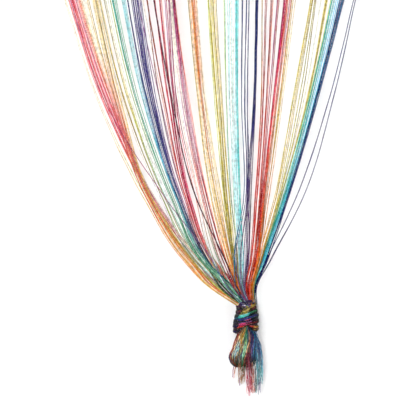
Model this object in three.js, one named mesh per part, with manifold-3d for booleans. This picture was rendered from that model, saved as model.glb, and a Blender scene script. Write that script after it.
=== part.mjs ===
// A string curtain: strings of many colours hang from a heading tape, are gathered to one side
// and are tied in their own knot, with the tail folded back and the cut ends left loose.
// Millimetres, +Z up, +X along the heading, +Y towards the wall behind the curtain.
// The origin is the middle of the heading's top edge.
import * as THREE from "three";
import { mergeVertices } from "three/addons/utils/BufferGeometryUtils.js";
import Module from "manifold-3d";

const wasm = await Module();
wasm.setup();

// Heading tape, and the narrow strip below it that holds the roots of one colour's strings
const CURTAIN_WIDTH = 900;
const TAPE_HEIGHT = 38;
const TAPE_THICKNESS = 2;
const STRIP_HEIGHT = 6;
const PIECE_GAP = 0.4;
const STRIP_TOP = -TAPE_HEIGHT - PIECE_GAP;

// Strings
const STRING_RADIUS = 0.75;
const STRING_SIDES = 3;
const ROOT_DEPTH = 4;
const ROOT_Z = STRIP_TOP - STRIP_HEIGHT + ROOT_DEPTH;
const ROOT_LEAN = 0.4;
const LAYER_PITCH = 2.1;

// Neck, where the strings enter the knot: a grid of cells, one for each colour
const KNOT_X = 90;
const NECK_Z = -1406;
const NECK_TILT = 0.2;
const NECK_STEPS = 1;
const CELL = 7.5;
const NECK_PITCH = 2.5;

// Heights at which each colour's place is given, with the steps that lead there from above
const LEVELS = [
  { name: "frame", z: -800, steps: 2 },
  { name: "upper", z: -1000, steps: 1 },
  { name: "lower", z: -1200, steps: 1 },
  { name: "gather", z: -1320, steps: 2 },
  { name: "throat", z: -1380, steps: 2 },
];

// The colours from left to right. At each level they have [centre, spread], measured across from the
// knot's axis, and at the neck [column, row] of their cell. Their strings lie in layers, front to back.
const COLUMNS = ["name", "dye", "strings", "layers", "frame", "upper", "lower", "gather", "throat", "neck"];
const COLOURS = [
  ["edge_olive", "olive", 2, 2, [-362, 4], [-296, 5], [-203, 8], [-131, 6], [-72, 5], [-2.7, 0.3]],
  ["rose_1", "rose", 7, 3, [-351, 13], [-283, 10], [-185, 8], [-111, 8], [-53, 9], [-1, 2]],
  ["magenta_1", "magenta", 7, 3, [-338, 11], [-273, 9], [-179, 7], [-103, 8], [-46, 8], [-2, 1]],
  ["peach_1", "peach", 6, 3, [-324, 15], [-264, 8], [-195, 6], [-126, 8], [-64, 9], [-2, -1]],
  ["gold_1", "gold", 6, 3, [-304, 18], [-254, 11], [-188, 7], [-116, 9], [-55, 9], [-2, 0]],
  ["olive_1", "olive", 5, 3, [-286, 10], [-238, 9], [-161, 7], [-93, 7], [-36, 7], [-1, 1]],
  ["aqua_1", "aqua", 9, 3, [-257, 32], [-213, 24], [-145, 14], [-89, 11], [-32, 11], [-1, -2]],
  ["navy_1", "navy", 8, 3, [-223, 25], [-189, 19], [-131, 12], [-83, 10], [-40, 10], [-1, -1]],
  ["rose_2", "rose", 6, 3, [-194, 20], [-158, 18], [-117, 13], [-68, 10], [-25, 8], [-1, 0]],
  ["stray_plum", "navy", 1, 1, [-184, 0], [-147, 0], [-95, 0], [-50, 0], [-20, 0], [-0.6, -2.7]],
  ["magenta_2", "magenta", 7, 3, [-158, 30], [-129, 26], [-88, 22], [-46, 13], [-17, 8], [0, -2]],
  ["peach_2", "peach", 6, 3, [-111, 9], [-93, 8], [-67, 12], [-37, 8], [-15, 7], [0, -1]],
  ["gold_2", "gold", 6, 3, [-100, 9], [-83, 9], [-54, 12], [-30, 8], [-13, 7], [0, 0]],
  ["olive_2", "olive", 7, 3, [-67, 20], [-58, 18], [-39, 11], [-24, 8], [-11, 7], [0, 1]],
  ["aqua_2", "aqua", 8, 3, [-30, 28], [-28, 23], [-21, 17], [-13, 11], [-7, 8], [0, 2]],
  ["stray_teal", "navy", 3, 1, [0, 14], [-3, 12], [-1, 11], [-16, 24], [-9, 14], [0.4, -2.7]],
  ["navy_2", "navy", 6, 3, [18, 14], [11, 12], [7, 13], [3, 11], [-1, 8], [1, 0]],
  ["rose_3", "rose", 7, 3, [43, 25], [35, 16], [20, 11], [11, 8], [2, 7], [1, -2]],
  ["magenta_3", "magenta", 8, 3, [72, 24], [53, 16], [31, 11], [17, 8], [5, 7], [1, -1]],
  ["peach_3", "peach", 7, 3, [96, 22], [71, 16], [44, 12], [23, 8], [10, 7], [1, 1]],
  ["gold_3", "gold", 7, 3, [135, 16], [102, 14], [58, 9], [28, 7], [13, 7], [2, -1]],
  ["olive_3", "olive", 5, 3, [158, 15], [115, 10], [69, 8], [32, 7], [14, 6], [1, 2]],
  ["aqua_3", "aqua", 7, 3, [177, 15], [128, 12], [76, 7], [35, 7], [16, 7], [2, 0]],
  ["navy_3", "navy", 7, 3, [192, 13], [140, 10], [83, 8], [40, 7], [19, 7], [2, 1]],
  ["edge_navy", "navy", 2, 2, [217, 4], [168, 8], [104, 11], [50, 7], [23, 5], [2.7, 0.3]],
].map((row) => Object.fromEntries(COLUMNS.map((column, i) => [column, row[i]])));

const STRING_COUNT = COLOURS.reduce((sum, colour) => sum + colour.strings, 0);
const STRING_PITCH = CURTAIN_WIDTH / STRING_COUNT;

// Knot: turns of the bundle around itself. Each ridge has its drop below the neck, its radius, its
// half height and how far it leans up to the right.
const KNOT_SEGMENTS = 24;
const RIDGE_RELIEF = 3.2;
const RIDGE_ANGLES = [-1.1, -0.4, 0.4, 1.1];
const KNOT_TURNS = [
  { drop: 5, radius: 20.8, half: 4.6, tilt: 0.2 },
  { drop: 13.5, radius: 21.6, half: 4, tilt: 0.25 },
  { drop: 22, radius: 24, half: 4.4, tilt: 0.28 },
  { drop: 31, radius: 26, half: 4.6, tilt: 0.26 },
  { drop: 40, radius: 26.8, half: 4.6, tilt: 0.2 },
  { drop: 51, radius: 26.2, half: 6.4, tilt: 0.08 },
];
const KNOT_TOP = { drop: 0.6, radius: 0, tilt: NECK_TILT };
const KNOT_FOOT = { drop: 60, radius: 15, tilt: 0 };

// Tail: the bundle comes out of the knot's front and folds back on itself in a bulb.
// Each ring has its drop below the neck, half width, half depth and its middle across and in depth.
const TAIL_SEGMENTS = 48;
const LOCKS = 12;
const LOCK_RELIEF = 0.06;
const TAIL_RINGS = [
  { drop: 42, across: 0, deep: 0, x: 1, y: -24 },
  { drop: 47, across: 6, deep: 5.5, x: 1, y: -22.5 },
  { drop: 54, across: 13, deep: 10, x: 1, y: -18 },
  { drop: 60, across: 19.5, deep: 15, x: 1, y: -12.5 },
  { drop: 72, across: 23, deep: 19, x: 0, y: -9 },
  { drop: 90, across: 25.5, deep: 22, x: -3.5, y: -6 },
  { drop: 107, across: 28.5, deep: 23, x: -7, y: -4 },
  { drop: 118, across: 26, deep: 21, x: -7, y: -3 },
  { drop: 125, across: 16, deep: 13, x: -6, y: -2 },
  { drop: 127, across: 0, deep: 0, x: -6, y: -2 },
];

// Loose ends in bunches: [across, depth, drop] of the middle of each bunch where it is rooted inside
// the bulb, where it bends and where its longest strand ends
const END_STEPS = 2;
const END_PITCH = 1.5;
const ROOT_PITCH = 0.6;
const SHORTEST_END = 0.6;
const LENGTH_STRIDE = 5;
const GOLDEN_ANGLE = Math.PI * (3 - Math.sqrt(5));
const BUNCH_COLUMNS = ["strands", "root", "bend", "tip"];
const BUNCHES = [
  [4, [-18, 2, 112], [-22, 3, 128], [-25, 4, 152]],
  [7, [-12, -6, 114], [-14, -7, 134], [-14, -7, 167]],
  [8, [-5, 3, 116], [-7, 3, 134], [-8, 3, 163]],
  [9, [2, -7, 114], [3, -8, 136], [4, -8, 187]],
  [8, [7, 5, 112], [10, 5, 132], [11, 5, 182]],
  [6, [12, -3, 104], [16, -3, 126], [18, -2, 181]],
  [7, [9, -8, 66], [27, -8, 98], [31, -5, 162]],
  [6, [10, 0, 74], [25, 4, 106], [25, 6, 191]],
].map((row) => Object.fromEntries(BUNCH_COLUMNS.map((column, i) => [column, row[i]])));

const DYES = {
  rose: "#c4545f",
  magenta: "#b8406a",
  peach: "#dd9a70",
  gold: "#c9a25a",
  olive: "#a9a35c",
  aqua: "#6fb7b4",
  navy: "#3c4668",
  tape: "#e6e0d4",
  knot: "#4b4660",
  tail: "#7d8a78",
};

// A smooth path that falls through its stations, with a given number of steps to each of them
class FallingPath extends THREE.Curve {
  constructor(stations, steps) {
    super();
    this.stations = stations;
    this.steps = steps;
    this.total = steps.reduce((sum, count) => sum + count, 0);
    this.lean = { x: this.leanAlong("x"), y: this.leanAlong("y") };
  }

  // Change across for each millimetre of height at every station
  leanAlong(axis) {
    const { stations } = this;
    const last = stations.length - 1;
    const chord = (i) => (stations[i + 1][axis] - stations[i][axis]) / (stations[i + 1].z - stations[i].z);
    return stations.map((point, i) => {
      if (i === 0) {
        return ROOT_LEAN * chord(0);
      }
      if (i === last) {
        return chord(last - 1);
      }
      const above = stations[i - 1].z - point.z;
      const below = point.z - stations[i + 1].z;
      return (chord(i - 1) * below + chord(i) * above) / (above + below);
    });
  }

  getPoint(t, target = new THREE.Vector3()) {
    let step = t * this.total;
    let i = 0;
    while (i < this.steps.length - 1 && step > this.steps[i]) {
      step -= this.steps[i];
      i += 1;
    }
    const f = step / this.steps[i];
    const [start, end] = [this.stations[i], this.stations[i + 1]];
    const fall = end.z - start.z;
    const between = (axis) => {
      const [leanIn, leanOut] = [this.lean[axis][i] * fall, this.lean[axis][i + 1] * fall];
      const ends = start[axis] * (1 + 2 * f) * (1 - f) ** 2 + end[axis] * f * f * (3 - 2 * f);
      return ends + leanIn * f * (1 - f) ** 2 + leanOut * f * f * (f - 1);
    };
    return target.set(between("x"), between("y"), start.z + fall * f);
  }

  // Steps stay where the stations put them
  getUtoTmapping(u) {
    return u;
  }
}

function solidOf(geometry) {
  geometry.deleteAttribute("normal");
  geometry.deleteAttribute("uv");
  const merged = mergeVertices(geometry);
  const vertProperties = new Float32Array(merged.attributes.position.array);
  const triVerts = new Uint32Array(merged.index.array);
  return new wasm.Manifold(new wasm.Mesh({ numProp: 3, vertProperties, triVerts }));
}

function geometryOf(solid) {
  const { vertProperties, triVerts } = solid.getMesh();
  const geometry = new THREE.BufferGeometry();
  geometry.setAttribute("position", new THREE.BufferAttribute(vertProperties, 3));
  geometry.setIndex(new THREE.BufferAttribute(triVerts, 1));
  return geometry;
}

function pieceOf(name, geometry, dye) {
  geometry.computeVertexNormals();
  const material = new THREE.MeshStandardMaterial({ color: DYES[dye], roughness: 0.8, metalness: 0 });
  const mesh = new THREE.Mesh(geometry, material);
  mesh.name = name;
  return mesh;
}

function strandSection() {
  const corner = (i) => {
    const turn = (2 * Math.PI * i) / STRING_SIDES;
    return new THREE.Vector2(STRING_RADIUS * Math.cos(turn), STRING_RADIUS * Math.sin(turn));
  };
  return new THREE.Shape(Array.from({ length: STRING_SIDES }, (_, i) => corner(i)));
}

function strandSolid(path) {
  const options = { steps: path.total, extrudePath: path, bevelEnabled: false };
  return solidOf(new THREE.ExtrudeGeometry(strandSection(), options));
}

// Stations of one string, from its root in the heading to its place in the neck
function stringStations(colour, i, rootX) {
  const [column, row] = colour.neck;
  const columns = Math.ceil(colour.strings / colour.layers);
  const layer = (i % colour.layers) - (colour.layers - 1) / 2;
  const aside = (i + 0.5) / colour.strings - 0.5;
  const neckX = column * CELL + (Math.floor(i / colour.layers) - (columns - 1) / 2) * NECK_PITCH;
  const stations = [new THREE.Vector3(rootX, 0, ROOT_Z)];
  for (const { name, z } of LEVELS) {
    const [centre, spread] = colour[name];
    const fallen = (z - ROOT_Z) / (NECK_Z - ROOT_Z);
    const y = fallen * row * CELL + layer * LAYER_PITCH;
    stations.push(new THREE.Vector3(KNOT_X + centre + spread * aside, y, z));
  }
  const neckY = row * CELL + layer * NECK_PITCH;
  stations.push(new THREE.Vector3(KNOT_X + neckX, neckY, NECK_Z + NECK_TILT * neckX));
  return stations;
}

// One colour's strings, fused at their roots into a strip under the heading
function stringSection(colour, firstString) {
  const width = colour.strings * STRING_PITCH;
  const left = -CURTAIN_WIDTH / 2 + firstString * STRING_PITCH;
  const strip = new THREE.BoxGeometry(width - PIECE_GAP, TAPE_THICKNESS, STRIP_HEIGHT);
  strip.translate(left + width / 2, 0, STRIP_TOP - STRIP_HEIGHT / 2);
  const steps = [...LEVELS.map((level) => level.steps), NECK_STEPS];
  let solid = solidOf(strip);
  for (let i = 0; i < colour.strings; i += 1) {
    const stations = stringStations(colour, i, left + (i + 0.5) * STRING_PITCH);
    solid = solid.add(strandSolid(new FallingPath(stations, steps)));
  }
  return pieceOf(`strings_${colour.name}`, geometryOf(solid), colour.dye);
}

function headingTape() {
  const tape = new THREE.BoxGeometry(CURTAIN_WIDTH, TAPE_THICKNESS, TAPE_HEIGHT);
  tape.translate(0, 0, -TAPE_HEIGHT / 2);
  return pieceOf("heading", tape, "tape");
}

// Ridged turns around the neck, each leaning up to the right
function knotTurns() {
  const outline = [KNOT_TOP];
  for (const { drop, radius, half, tilt } of KNOT_TURNS) {
    for (const angle of RIDGE_ANGLES) {
      const ridge = radius - RIDGE_RELIEF * (1 - Math.cos(angle));
      outline.push({ radius: ridge, drop: drop + half * Math.sin(angle), tilt });
    }
  }
  outline.push(KNOT_FOOT, { ...KNOT_FOOT, radius: 0 });
  outline.reverse();
  const profile = outline.map(({ radius, drop }) => new THREE.Vector2(radius, -drop));
  const body = new THREE.LatheGeometry(profile, KNOT_SEGMENTS);
  body.rotateX(Math.PI / 2);
  const { position } = body.attributes;
  for (let i = 0; i < position.count; i += 1) {
    const { tilt } = outline[i % outline.length];
    position.setZ(i, position.getZ(i) + tilt * position.getX(i));
  }
  body.translate(KNOT_X, 0, NECK_Z);
  return solidOf(body);
}

// The folded bulb, fluted by its locks; grown by a margin it is the room that the knot leaves for it
function tailBulb(margin) {
  const rings = [...TAIL_RINGS].reverse();
  const profile = rings.map(({ across, drop }) => new THREE.Vector2(across, -drop));
  const bulb = new THREE.LatheGeometry(profile, TAIL_SEGMENTS);
  const { position } = bulb.attributes;
  for (let i = 0; i < position.count; i += 1) {
    const ring = rings[i % rings.length];
    const turn = (2 * Math.PI * Math.floor(i / rings.length)) / TAIL_SEGMENTS;
    const flute = 1 + LOCK_RELIEF * Math.cos(LOCKS * turn);
    const onAxis = ring.across === 0;
    const [across, deep] = onAxis ? [0, 0] : [ring.across + margin, ring.deep + margin];
    const x = KNOT_X + ring.x + across * flute * Math.cos(turn);
    const y = ring.y + deep * flute * Math.sin(turn);
    const lift = ring === rings[rings.length - 1] ? margin : 0;
    position.setXYZ(i, x, y, NECK_Z - ring.drop + lift);
  }
  return solidOf(bulb);
}

// One bunch of loose ends: strands set out on a spiral around the bunch's middle, no two of a length
function looseEnds({ strands, root, bend, tip }) {
  return Array.from({ length: strands }, (_, i) => {
    const rank = (i * LENGTH_STRIDE) % strands;
    const kept = SHORTEST_END + ((1 - SHORTEST_END) * rank) / (strands - 1);
    const station = ([x, y, drop], pitch) => {
      const out = new THREE.Vector2(pitch * Math.sqrt(i + 0.5), 0);
      const aside = out.rotateAround(new THREE.Vector2(), i * GOLDEN_ANGLE);
      return new THREE.Vector3(KNOT_X + x + aside.x, y + aside.y, NECK_Z - drop);
    };
    const bent = station(bend, END_PITCH);
    const cut = bent.clone().lerp(station(tip, END_PITCH), kept);
    return strandSolid(new FallingPath([station(root, ROOT_PITCH), bent, cut], [END_STEPS, END_STEPS]));
  });
}

function tailWithEnds() {
  let solid = tailBulb(0);
  for (const bunch of BUNCHES) {
    for (const strand of looseEnds(bunch)) {
      solid = solid.add(strand);
    }
  }
  return solid;
}

const curtain = new THREE.Group();
curtain.name = "string_curtain";
curtain.add(headingTape());
let firstString = 0;
for (const colour of COLOURS) {
  curtain.add(stringSection(colour, firstString));
  firstString += colour.strings;
}
const knot = knotTurns().subtract(tailBulb(PIECE_GAP));
curtain.add(pieceOf("knot", geometryOf(knot), "knot"));
curtain.add(pieceOf("tail", geometryOf(tailWithEnds()), "tail"));

export default curtain;
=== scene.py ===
"""A string curtain of many-coloured yarns, gathered to one side and tied in its own knot.

Tables are in millimetres, in the frame of the part: the origin is the middle of the heading's top
edge, +X runs along the heading, +Y to the wall behind and +Z up. Meshes are in metres.
"""
import math
from collections import namedtuple

import bmesh
import bpy
import numpy as np
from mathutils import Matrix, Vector


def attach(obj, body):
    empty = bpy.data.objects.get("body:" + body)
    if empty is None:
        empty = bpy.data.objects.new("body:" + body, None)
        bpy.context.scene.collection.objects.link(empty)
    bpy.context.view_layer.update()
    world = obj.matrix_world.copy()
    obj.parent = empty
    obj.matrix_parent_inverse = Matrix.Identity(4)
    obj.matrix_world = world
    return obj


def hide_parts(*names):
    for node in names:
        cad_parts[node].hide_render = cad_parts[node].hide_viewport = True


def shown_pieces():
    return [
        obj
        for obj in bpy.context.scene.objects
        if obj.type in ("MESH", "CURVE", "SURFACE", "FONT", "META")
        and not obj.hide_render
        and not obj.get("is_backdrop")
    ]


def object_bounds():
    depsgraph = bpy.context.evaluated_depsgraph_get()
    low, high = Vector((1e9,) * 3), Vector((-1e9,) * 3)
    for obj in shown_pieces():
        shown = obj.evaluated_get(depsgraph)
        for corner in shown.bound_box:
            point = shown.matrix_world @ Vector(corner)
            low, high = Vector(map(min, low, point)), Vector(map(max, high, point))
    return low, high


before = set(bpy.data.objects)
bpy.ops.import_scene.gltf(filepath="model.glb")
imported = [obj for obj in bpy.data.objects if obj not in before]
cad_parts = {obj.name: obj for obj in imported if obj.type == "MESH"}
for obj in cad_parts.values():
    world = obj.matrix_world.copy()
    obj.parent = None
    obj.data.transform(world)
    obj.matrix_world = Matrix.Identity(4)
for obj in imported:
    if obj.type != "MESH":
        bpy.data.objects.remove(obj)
CAD_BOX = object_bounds()
MM = 0.001

# Seeds of what chance decides: how yarns are laid, and how each of them is spun
LAID = {"strings": 100, "knot": 5, "tail": 11, "ends": 23}
SPUN = {"strings": 200, "stitches": 31, "knot": 41, "tail": 43, "ends": 47}

# Yarn: a four-sided section that turns along its length, with slubs where the spinning left it thicker.
# What wanders along a yarn, below, has its wavelength and its size either way as a pair
YARN_RADIUS = 0.86
YARN_SIDES = 4
RING_PITCH = 3.0
LAY_LENGTH = 18.0
SLUB_GAP = 70.0
SLUB_LENGTH = 5.0
SLUB_SWELL = 0.35
UNEVEN = 0.12
END_TAPER = 0.55
STRIP_MARGIN = 0.08

# Heading: a flat tape, one row of sewing, and a thread wound over the string roots of each colour
CURTAIN_WIDTH = 900
TAPE_HEIGHT = 38
TAPE_THICKNESS = 1.6
TAPE_ROUNDING = 0.6
ROUNDING_STEPS = 3
STITCH_LENGTH = 3.2
STITCH_PITCH = 4.5
STITCH_DROP = 33.5
STITCH_RISE = 0.3
STITCH_SINK = 0.1
STITCH_POINTS = 6
THREAD_RADIUS = 0.28
BINDING_TOP = -38.8
BINDING_FOOT = -44.2
BINDING_PITCH = 3.0
BINDING_DEPTH = 1.15
BINDING_INSET = 0.5
POINTS_A_TURN = 12

# Strings, from their roots in the heading to the neck above the knot. Their shades follow one another
# between two heights; they deepen as the strings gather, in dye and in painted shade, with painted shade at
# the throat
ROOT_Z = -40.4
ROOT_LEAN = 0.4
KNOT_X = 90
NECK_Z = -1406
NECK_TILT = 0.2
NECK_PITCH = 2.5
NECK_TUCK = 8
CELL = 7.5
LAYER_PITCH = 2.1
LEVELS = {"frame": -800, "upper": -1000, "lower": -1200, "gather": -1320, "throat": -1380}
STRING_WANDER = (40.0, 0.35)
STRING_STRIPS = 6
STRAY = {"frame": 0.03, "upper": 0.06, "lower": 0.15, "gather": 0.25, "throat": 0.2}
SHADE_CHANGE = (-900, -1340)
# how much deeper the strings get as they gather: deeper dye together with painted shade of the bundle
DEEPER_DYE_AND_SHADE = 0.2
DEEPER_FROM = -950
DEEPER_TO = -1350
THROAT_SHADE = 0.75

# Yarn shades, as a dyer would name them. Yarns take up more or less of a dye, and pale ones stay bright
DYE_STRENGTH = 1.4
DYE_UPTAKE = (0.73, 1.08)
PALE_UPTAKE = 1.2
SHADES = dict(entry.split() for entry in (
    "milk #fbf2e4, cream #f4e6cc, pearl #f2f0f4, straw #f3df9c, citron #ddd277, tan #e8c496, "
    "taupe #a98d7e, gold #e6b047, apricot #f39f4a, peach #f9bf92, blush #f7b9a9, salmon #f2a07c, "
    "pink #f2a0ae, coral #f4857a, rose #d9455f, brick #b23c26, flame #e2562b, red #dd3329, "
    "rust #9a5330, umber #43261c, wine #7a1c30, plum #4a2440, ink #15183a, hot_pink #f5669f, "
    "magenta #ae2161, mauve #b986ab, violet #77689e, grape #8a6a94, indigo #3d3a70, navy #1a2f6e, "
    "cobalt #1e5b98, slate #737d95, teal #1d7c94, sky #76cdeb, mist #e2f3f2, ice #b8e4e8, "
    "jade #9cc7b0, aqua #68d2cf, sea #3fa99c, green #5aa47a, moss #2f6b48, pine #1c3a2b, "
    "lime #cfd88a, olive #a09a3e, khaki #b5a45c"
).split(","))

# Colours from left to right: the dye, the layers from front to back, [centre, spread] across from the
# knot's axis at each level, [column, row] of the cell at the neck, the spaces that its roots take in the
# heading, and the strings, each with its place across in hundredths of the band's width. A string has one
# shade, or up to four that follow one another on its way down, an empty one the same as the one above it
Colour = namedtuple("Colour", "name dye layers frame upper lower gather throat neck roots strings")
# Pale filler strings far off their band's middle, in olive_1, rose_2 and magenta_2, partly stand in for the
# wall's shade between bundles: painted shade
COLOURS = [Colour(*row) for row in (
    ("edge_olive", "olive", 2, (-362, 4), (-296, 5), (-200, 8), (-124, 5), (-66, 5), (-2.7, 0.3), 2,
     "milk/cream/straw/apricot -25, cream//lime/straw 25"),
    ("rose_1", "rose", 3, (-351, 13), (-284, 12), (-186, 7), (-101, 5), (-47, 7), (-1, 2), 7,
     "blush/pink/tan/khaki -36, pink/coral/salmon/jade -22, mauve/rose//rust -8, pink//coral/tan 7, "
     "rose///plum 20, blush/pink/mauve/mist 33, pink/rose/mauve/wine 47"),
    ("stray_violet", "navy", 1, (-346, 0), (-284, 0), (-158, 0), (-68, 0), (-32, 0), (-1, -2.7), 0,
     "rose/violet 0"),
    ("magenta_1", "magenta", 3, (-338, 11), (-273, 10), (-182, 6), (-96, 6), (-43, 6), (-2, 1), 7,
     "pink//blush/mist -49, pink//mauve/jade -33, mauve/rose//taupe -15, blush/coral/blush/pearl 4, "
     "coral/pink/mauve/taupe 22, blush//milk/plum 40"),
    ("peach_1", "peach", 3, (-324, 15), (-266, 8), (-193, 8), (-117, 9), (-61, 8), (-2, -1), 6,
     "peach/coral/apricot/straw -49, cream/pink/salmon/apricot -37, cream/coral/apricot/straw -24, "
     "milk/pink/straw/cream -8, milk/coral/salmon/apricot 13, milk/blush/apricot/straw 30, "
     "straw/pink/coral/apricot 44, khaki/gold/tan/gold 60"),
    ("gold_1", "gold", 3, (-302, 14), (-256, 13), (-189, 7), (-111, 9), (-54, 8), (-2, 0), 6,
     "milk/pink/straw/ -45, straw/coral/salmon/apricot -29, straw/blush/apricot/straw -14, "
     "khaki/apricot/rust/gold 3, khaki/peach/gold/straw 17, straw//tan/gold 33, cream//straw/lime 48"),
    ("olive_1", "olive", 3, (-286, 10), (-238, 9), (-162, 7), (-97, 8), (-37, 7), (-1, 1), 5,
     "milk//pearl/mauve -100, olive/khaki/olive/jade -70, straw/khaki/lime/jade -56, "
     "khaki/lime/khaki/lime 20, milk/straw/mist/slate 44, milk/lime/jade/moss 58, "
     "milk//mist/jade 100, milk//pearl/mauve 145, milk//mist/jade 190"),
    ("aqua_1", "aqua", 3, (-257, 32), (-213, 24), (-143, 13), (-86, 12), (-28, 13), (-1, -2), 9,
     "lime/jade/ -46, sea/jade/moss -34, aqua/jade/ -28, green/jade/moss -23, "
     "sea/jade -18, jade -9, ice//jade 26, ice//sea 32, ice/sky/jade 38, ice/sky/teal 44, "
     "ice/cobalt/moss 50"),
    ("navy_1", "navy", 3, (-223, 30), (-189, 20), (-131, 12), (-78, 8), (-38, 14), (-1, -1), 8,
     "navy/cobalt/slate/moss -50, navy/cobalt/teal/plum -46, navy//cobalt/moss -42, "
     "navy/indigo/slate/plum -19, violet/cobalt/slate/moss -14, navy//teal/plum -6, "
     "violet/indigo/violet/wine 2, navy/violet/slate/moss 8, navy/indigo/violet/plum 14, "
     "violet/navy/violet/moss 20, indigo/violet/navy/plum 26, violet/indigo/plum 36, "
     "indigo/violet/mauve/tan 46, rust/plum/mauve/khaki 84"),
    ("rose_2", "rose", 3, (-194, 20), (-161, 10), (-118, 4), (-70, 4), (-22, 4), (-1, 0), 6,
     "mauve//blush/pink -110, milk/blush//pink -60, rust/brick/coral/pink -22, rust/brick/rose/salmon -14, "
     "rose///pink 54, rose//pink/wine 62, rose/magenta//salmon 103, magenta///taupe 113, "
     "blush/rose/blush/ 123, mauve/magenta/hot_pink/pink 163, magenta//rose/tan 172, "
     "magenta//pink/blush 211"),
    ("stray_plum", "navy", 1, (-184, 1.6), (-148, 1.4), (-98, 1.2), (-42, 1), (-16, 1), (-0.6, -2.7), 1,
     "plum -50, wine/plum 50"),
    ("magenta_2", "magenta", 3, (-145, 4), (-120, 9), (-80, 8), (-45, 10), (-17, 8), (0, -2), 7,
     "magenta/pink/blush/jade -240, mauve/magenta/pearl/mist -200, milk//blush/jade -165, "
     "milk/pearl/milk/moss -130, milk/mauve/blush/jade -100, milk//peach/pearl -75, "
     "mauve//rose/magenta -50, hot_pink/magenta// -25, mauve//blush/wine 0, magenta/mauve/magenta/ 22, "
     "magenta/pink/magenta/wine 44, blush///apricot 66"),
    ("peach_2", "peach", 3, (-111, 9), (-93, 8), (-64, 12), (-34, 8), (-15, 7), (0, -1), 6,
     "khaki/straw//apricot -50, milk/cream//straw -36, peach/straw/milk/gold -18, "
     "milk/cream/straw/apricot 0, peach/milk/cream/straw 14, straw/cream/straw/gold 28, "
     "apricot//straw/apricot 48"),
    ("gold_2", "gold", 3, (-103, 9), (-85, 9), (-53, 12), (-29, 7), (-13, 7), (0, 0), 6,
     "apricot//straw/gold -50, peach/milk/cream/straw -32, apricot//straw/gold -14, "
     "peach/milk/cream/gold 4, milk/cream//gold 20, peach/straw//khaki 38, milk//straw/olive 52"),
    ("olive_2", "olive", 3, (-67, 20), (-54, 17), (-37, 13), (-24, 10), (-12, 7), (0, 1), 7,
     "lime/citron -48, citron/olive -41, olive -33, citron/khaki -22, citron/olive -11, citron/olive 0, "
     "khaki/olive 8, straw/citron 22, khaki/citron 37"),
    ("aqua_2", "aqua", 3, (-30, 28), (-28, 23), (-21, 17), (-12, 12), (-8, 8), (0, 2), 8,
     "lime/jade/khaki -50, jade/mist/khaki -42, mist/ice -28, mist//lime -20, ice/mist/ice -13, "
     "milk/mist/ice -5, mist//ice 3, mist/ice/mist 10, milk/mist/ice 16, mist/ice/ 23, ice/mist/ice 30, "
     "ice//aqua 36, aqua/ice/ 42, aqua 48, ice/aqua/ice 53"),
    ("stray_teal", "navy", 1, (0, 14), (-3, 13), (-1, 11), (-16, 24), (-9, 14), (0.4, -2.7), 3,
     "slate//teal -56, indigo/slate/teal -50, slate/indigo/grape 3, indigo/navy/grape 8, indigo//plum 38, "
     "slate/navy/grape 44"),
    ("navy_2", "navy", 3, (22, 5), (17, 4), (6, 10), (3, 6), (0, 4), (1, 0), 6,
     "navy//grape/violet -48, navy/indigo/grape/plum -28, navy/violet//grape -10, navy//grape/ 10, "
     "navy/violet/plum/ 30, navy//grape/plum 48"),
    ("rose_3", "rose", 3, (42, 21), (35, 12), (22, 9), (12, 7), (3, 7), (1, -2), 7,
     "khaki/coral/brick -50, blush/brick/coral -43, brick/coral -14, rust/brick/flame -6, "
     "brick/red/flame 40, rust/red/ 47, blush/coral/salmon 54"),
    ("magenta_3", "magenta", 3, (72, 24), (51, 14), (31, 8), (18, 7), (5, 7), (1, -1), 8,
     "mauve/rose/flame -44, rose/coral/flame -38, brick/rose/flame -25, "
     "magenta/rose/flame 15, magenta/rose/flame 20, magenta/red/flame 25, "
     "hot_pink/coral/flame 29, brick/flame/salmon 35, rose/flame 39, "
     "coral/flame/apricot 46, mauve/blush/salmon/apricot 62, blush/peach/apricot 80"),
    ("peach_3", "peach", 3, (96, 22), (72, 18), (43, 11), (24, 8), (10, 7), (1, 1), 7,
     "blush/coral/apricot -58, peach/apricot -51, cream/peach/apricot -43, peach/straw/peach/apricot -25, "
     "straw//tan/gold -18, straw//tan/apricot -7, cream//peach/gold 11"),
    ("gold_3", "gold", 3, (135, 16), (103, 24), (63, 18), (28, 9), (13, 7), (2, -1), 7,
     "citron//straw/apricot -40, straw/citron/straw/gold -31, citron/straw//apricot -22, "
     "khaki/straw/citron/gold -8, olive/citron//khaki 17, khaki/citron/olive 28"),
    ("olive_3", "olive", 3, (158, 15), (121, 9), (68, 6), (32, 6), (14, 6), (1, 2), 5,
     "milk/straw -52, straw/khaki 12, lime//olive 20, khaki/lime/green 28, straw/lime/khaki 38"),
    ("aqua_3", "aqua", 3, (177, 15), (131, 11), (75, 6), (35, 6), (14, 5), (2, 0), 7,
     "lime/aqua/green -50, aqua/sea/green -38, sea/aqua -26, aqua//sky -10, ice/aqua/ 8, sky 26, "
     "sky/aqua 44"),
    ("navy_3", "navy", 3, (192, 10), (141, 7), (82, 6), (41, 5), (18, 4), (2, 1), 7,
     "teal/cobalt -48, cobalt/navy/cobalt -30, navy/cobalt -15, navy 0, sky/cobalt/navy 12, "
     "navy//cobalt 26, slate/navy 40"),
    ("edge_navy", "navy", 2, (217, 4), (170, 8.6), (105, 12), (46, 7), (19, 4), (2.7, 0.3), 2,
     "navy -52, navy -46, navy 46, navy 52"),
)]

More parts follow.
